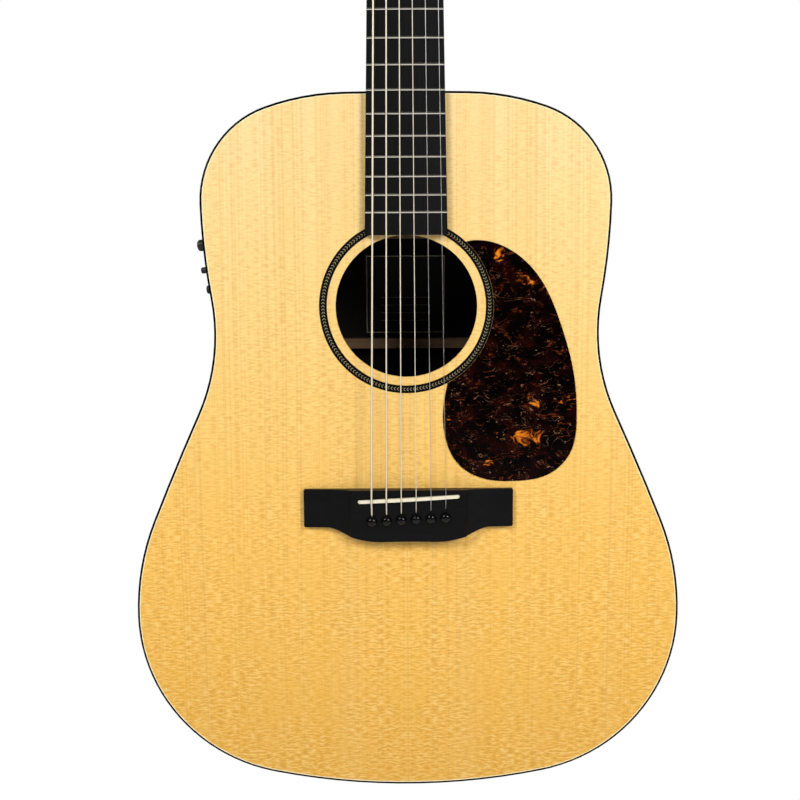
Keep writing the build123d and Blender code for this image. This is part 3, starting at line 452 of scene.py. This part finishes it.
dots = plastic("dot_white", linear(230, 230, 224), 0.25, 0.08, 0.03, 700)
tape = plastic("pickup_tape", linear(90, 84, 74), 0.6, 0.4, 0.3, 900)
rubber = plastic("lead_rubber", linear(20, 20, 20), 0.6, 0.4, 0.2, 1600)
silver = metal("fret_silver", linear(244, 238, 224), 0.16, (1200, 60, 1200), 0.01)
chrome = metal("tuner_chrome", linear(212, 214, 218), 0.12, (300, 300, 300), 0.02)
nickel = metal("jack_nickel", linear(196, 190, 180), 0.22, (600, 600, 60))
steel = metal("bolt_steel", linear(150, 150, 152), 0.35, (500, 500, 60), 0.1)
string_steel = metal("string_steel", linear(240, 241, 244), 0.34, (900, 900, 60), 0.01)

dress(spruce(), "soundboard")
dress(mahogany, "back_plate", "side_bass", "side_treble", "heel_cap")
dress(neck_wood, "neck", "neck_block", "tail_block")
dress(brace_wood, "top_braces", "linings", "back_braces")
dress(plate_wood, "bridge_plate")
dress(charcoal, "fingerboard")
dress(bridge_wood, "bridge")
dress(veneer, "headplate")
dress(black_gloss, "top_binding", "back_binding", "end_graft")
dress(herringbone(), "rosette")
dress(tortoise(), "pickguard")
dress(bone, "saddle", "nut")
dress(tape, "saddle_pickup")
dress(dots, "side_dots")
dress(pin_black, "bridge_pins")
dress(silver, "frets")
dress(steel, "truss_rod", "truss_nut", "neck_bolts")
dress(chrome, "tuner_housings", "tuner_bushings", "tuner_screws")
for number in range(1, 7):
    dress(chrome, f"tuner_key_{number}", f"tuner_post_{number}")
for number, wrap_pitch in enumerate((0.46, 0.4, 0.32, 0.26), start=1):
    bronze = wound(f"wound_bronze_{number}", linear(255, 243, 214), wrap_pitch * mm)
    dress(bronze, f"string_{number}")
dress(string_steel, "string_5", "string_6")
dress(case_black, "preamp", "battery")
dress(knob_black, "volume_knob", "tone_knob", "phase_button")
dress(nickel, "control_nuts", "endpin_jack", "endpin_nut")
dress(rubber, "wiring")
dress(paper(), "label")


# ------------------------------------------------------------------ pieces the drawing leaves out
def inner_loop(node):
    """The inner edge of a ring's front face, as points in order."""
    shape = bmesh.new()
    shape.from_mesh(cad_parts[node].data)
    shape.transform(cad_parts[node].matrix_world)
    bmesh.ops.remove_doubles(shape, verts=shape.verts, dist=0.000002)
    front = min(v.co.y for v in shape.verts)
    rim = {}
    for edge in shape.edges:
        if max(v.co.y for v in edge.verts) > front + 0.00001 or len(edge.link_faces) != 2:
            continue
        walls = [f.normal for f in edge.link_faces if abs(f.normal.y) < 0.3]
        middle = (edge.verts[0].co + edge.verts[1].co) / 2 - body_centre
        if len(walls) == 1 and walls[0].dot(middle) < 0:
            for a, b in (edge.verts, reversed(edge.verts)):
                rim.setdefault(a, []).append(b)
    loop = [next(iter(rim))]
    step = rim[loop[0]][0]
    while step is not loop[0]:
        loop.append(step)
        step = next(v for v in rim[step] if v is not loop[-2])
    points = [v.co.copy() for v in loop]
    shape.free()
    return points


def purfling(points, inward, outward, lift):
    """A flat line laid along a loop of points, just proud of the top."""
    vertices = []
    for index, point in enumerate(points):
        along = points[(index + 1) % len(points)] - points[index - 1]
        out = Vector((along.z, 0, -along.x)).normalized()
        if out.dot(point - body_centre) < 0:
            out = -out
        raised = point - Vector((0, lift, 0))
        vertices += [raised - out * inward, raised + out * outward]
    count = len(vertices)
    faces = [(i, i + 1, (i + 3) % count, (i + 2) % count) for i in range(0, count, 2)]
    mesh = bpy.data.meshes.new("top_purfling")
    mesh.from_pydata(vertices, [], faces)
    mesh.materials.append(purfling_maple)
    thing = bpy.data.objects.new("top_purfling", mesh)
    bpy.context.scene.collection.objects.link(thing)
    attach(thing, "body")


body_low, body_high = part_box("soundboard")
body_centre = (Vector(body_low) + Vector(body_high)) / 2
purfling(inner_loop("top_binding"), inward=0.35 * mm, outward=0.30 * mm, lift=0.03 * mm)


# ------------------------------------------------------------------ floor, light and camera
def plane(name, size, place, turn, material):
    mesh = bpy.data.meshes.new(name)
    h = size / 2
    mesh.from_pydata([(-h, -h, 0), (h, -h, 0), (h, h, 0), (-h, h, 0)], [], [(0, 1, 2, 3)])
    thing = bpy.data.objects.new(name, mesh)
    thing.location = place
    thing.rotation_euler = turn
    mesh.materials.append(material)
    bpy.context.scene.collection.objects.link(thing)
    return thing


floor_paint = Nodes("floor_paint")
floor_size = 60
floor_z = -0.25
speckle = floor_paint.noise(floor_paint.position, 3.0)
floor_paint.link(floor_paint.mix(speckle, (0.80, 0.80, 0.80), (0.84, 0.84, 0.84)), "Base Color")
floor_paint.set(Roughness=0.9)
glow = floor_paint.tree.nodes.new("ShaderNodeEmission")
blend = floor_paint.tree.nodes.new("ShaderNodeMixShader")
direct = floor_paint.tree.nodes.new("ShaderNodeLightPath")
floor_paint.tree.links.new(direct.outputs["Is Camera Ray"], blend.inputs[0])
floor_paint.tree.links.new(floor_paint.shader.outputs[0], blend.inputs[1])
floor_paint.tree.links.new(glow.outputs[0], blend.inputs[2])
floor_paint.tree.links.new(blend.outputs[0], floor_paint.output.inputs[0])
plane("floor", floor_size, (0, 0, floor_z), (0, 0, 0), floor_paint.material)

world = bpy.data.worlds.new("studio")
world.use_nodes = True
sky = world.node_tree
soft = sky.nodes["Background"]
soft.inputs[0].default_value = (0.97, 0.98, 1.0, 1.0)
soft.inputs[1].default_value = 0.10
seen = sky.nodes.new("ShaderNodeBackground")
seen.inputs[1].default_value = 1.0
seen.inputs[0].default_value = (1.0, 1.0, 1.0, 1.0)
choice = sky.nodes.new("ShaderNodeMixShader")
path = sky.nodes.new("ShaderNodeLightPath")
sky.links.new(path.outputs["Is Camera Ray"], choice.inputs[0])
sky.links.new(soft.outputs[0], choice.inputs[1])
sky.links.new(seen.outputs[0], choice.inputs[2])
sky.links.new(choice.outputs[0], sky.nodes["World Output"].inputs[0])
bpy.context.scene.world = world
bpy.context.scene.view_settings.view_transform = "Standard"


def area_light(name, place, aim, power, width, height):
    light = bpy.data.lights.new(name, "AREA")
    light.shape = "RECTANGLE"
    light.energy = power
    light.size = width
    light.size_y = height
    thing = bpy.data.objects.new(name, light)
    thing.location = place
    thing.rotation_euler = (Vector(aim) - Vector(place)).to_track_quat("-Z", "Y").to_euler()
    bpy.context.scene.collection.objects.link(thing)


area_light("key_right", (1.30, -1.75, 1.30), (0, 0, 0.4), 32.5, 0.7, 0.8)
area_light("key_left", (-1.30, -1.75, 1.80), (0, 0, 0.4), 35.0, 0.7, 0.8)
area_light("back_right", (1.4, 1.8, 1.4), (0, 0, 0.45), 22, 1.2, 1.2)
area_light("back_left", (-1.4, 1.8, 1.1), (0, 0, 0.45), 18, 1.2, 1.2)

# The camera stands in front of the soundboard, 459 mm below the nut, and looks a little down.
camera_data = bpy.data.cameras.new("camera")
camera_data.sensor_width = 36
camera_data.lens = 55.233
camera = bpy.data.objects.new("camera", camera_data)
stand_off = 880.1 * mm
below_nut = 459.1 * mm
to_bass_side = 4.93 * mm
pitch = math.radians(7.583)
roll = math.radians(0.312)
ahead = Vector((0, math.cos(pitch), -math.sin(pitch)))
above = Vector((0, math.sin(pitch), math.cos(pitch)))
side = Vector((1, 0, 0))
across = side * math.cos(roll) - above * math.sin(roll)
upward = side * math.sin(roll) + above * math.cos(roll)
turn = Matrix((across, upward, -ahead)).transposed()
stand = Matrix.Translation((-to_bass_side, top_y - stand_off, nut_z - below_nut))
camera.matrix_world = stand @ turn.to_4x4()
bpy.context.scene.collection.objects.link(camera)
bpy.context.scene.camera = camera
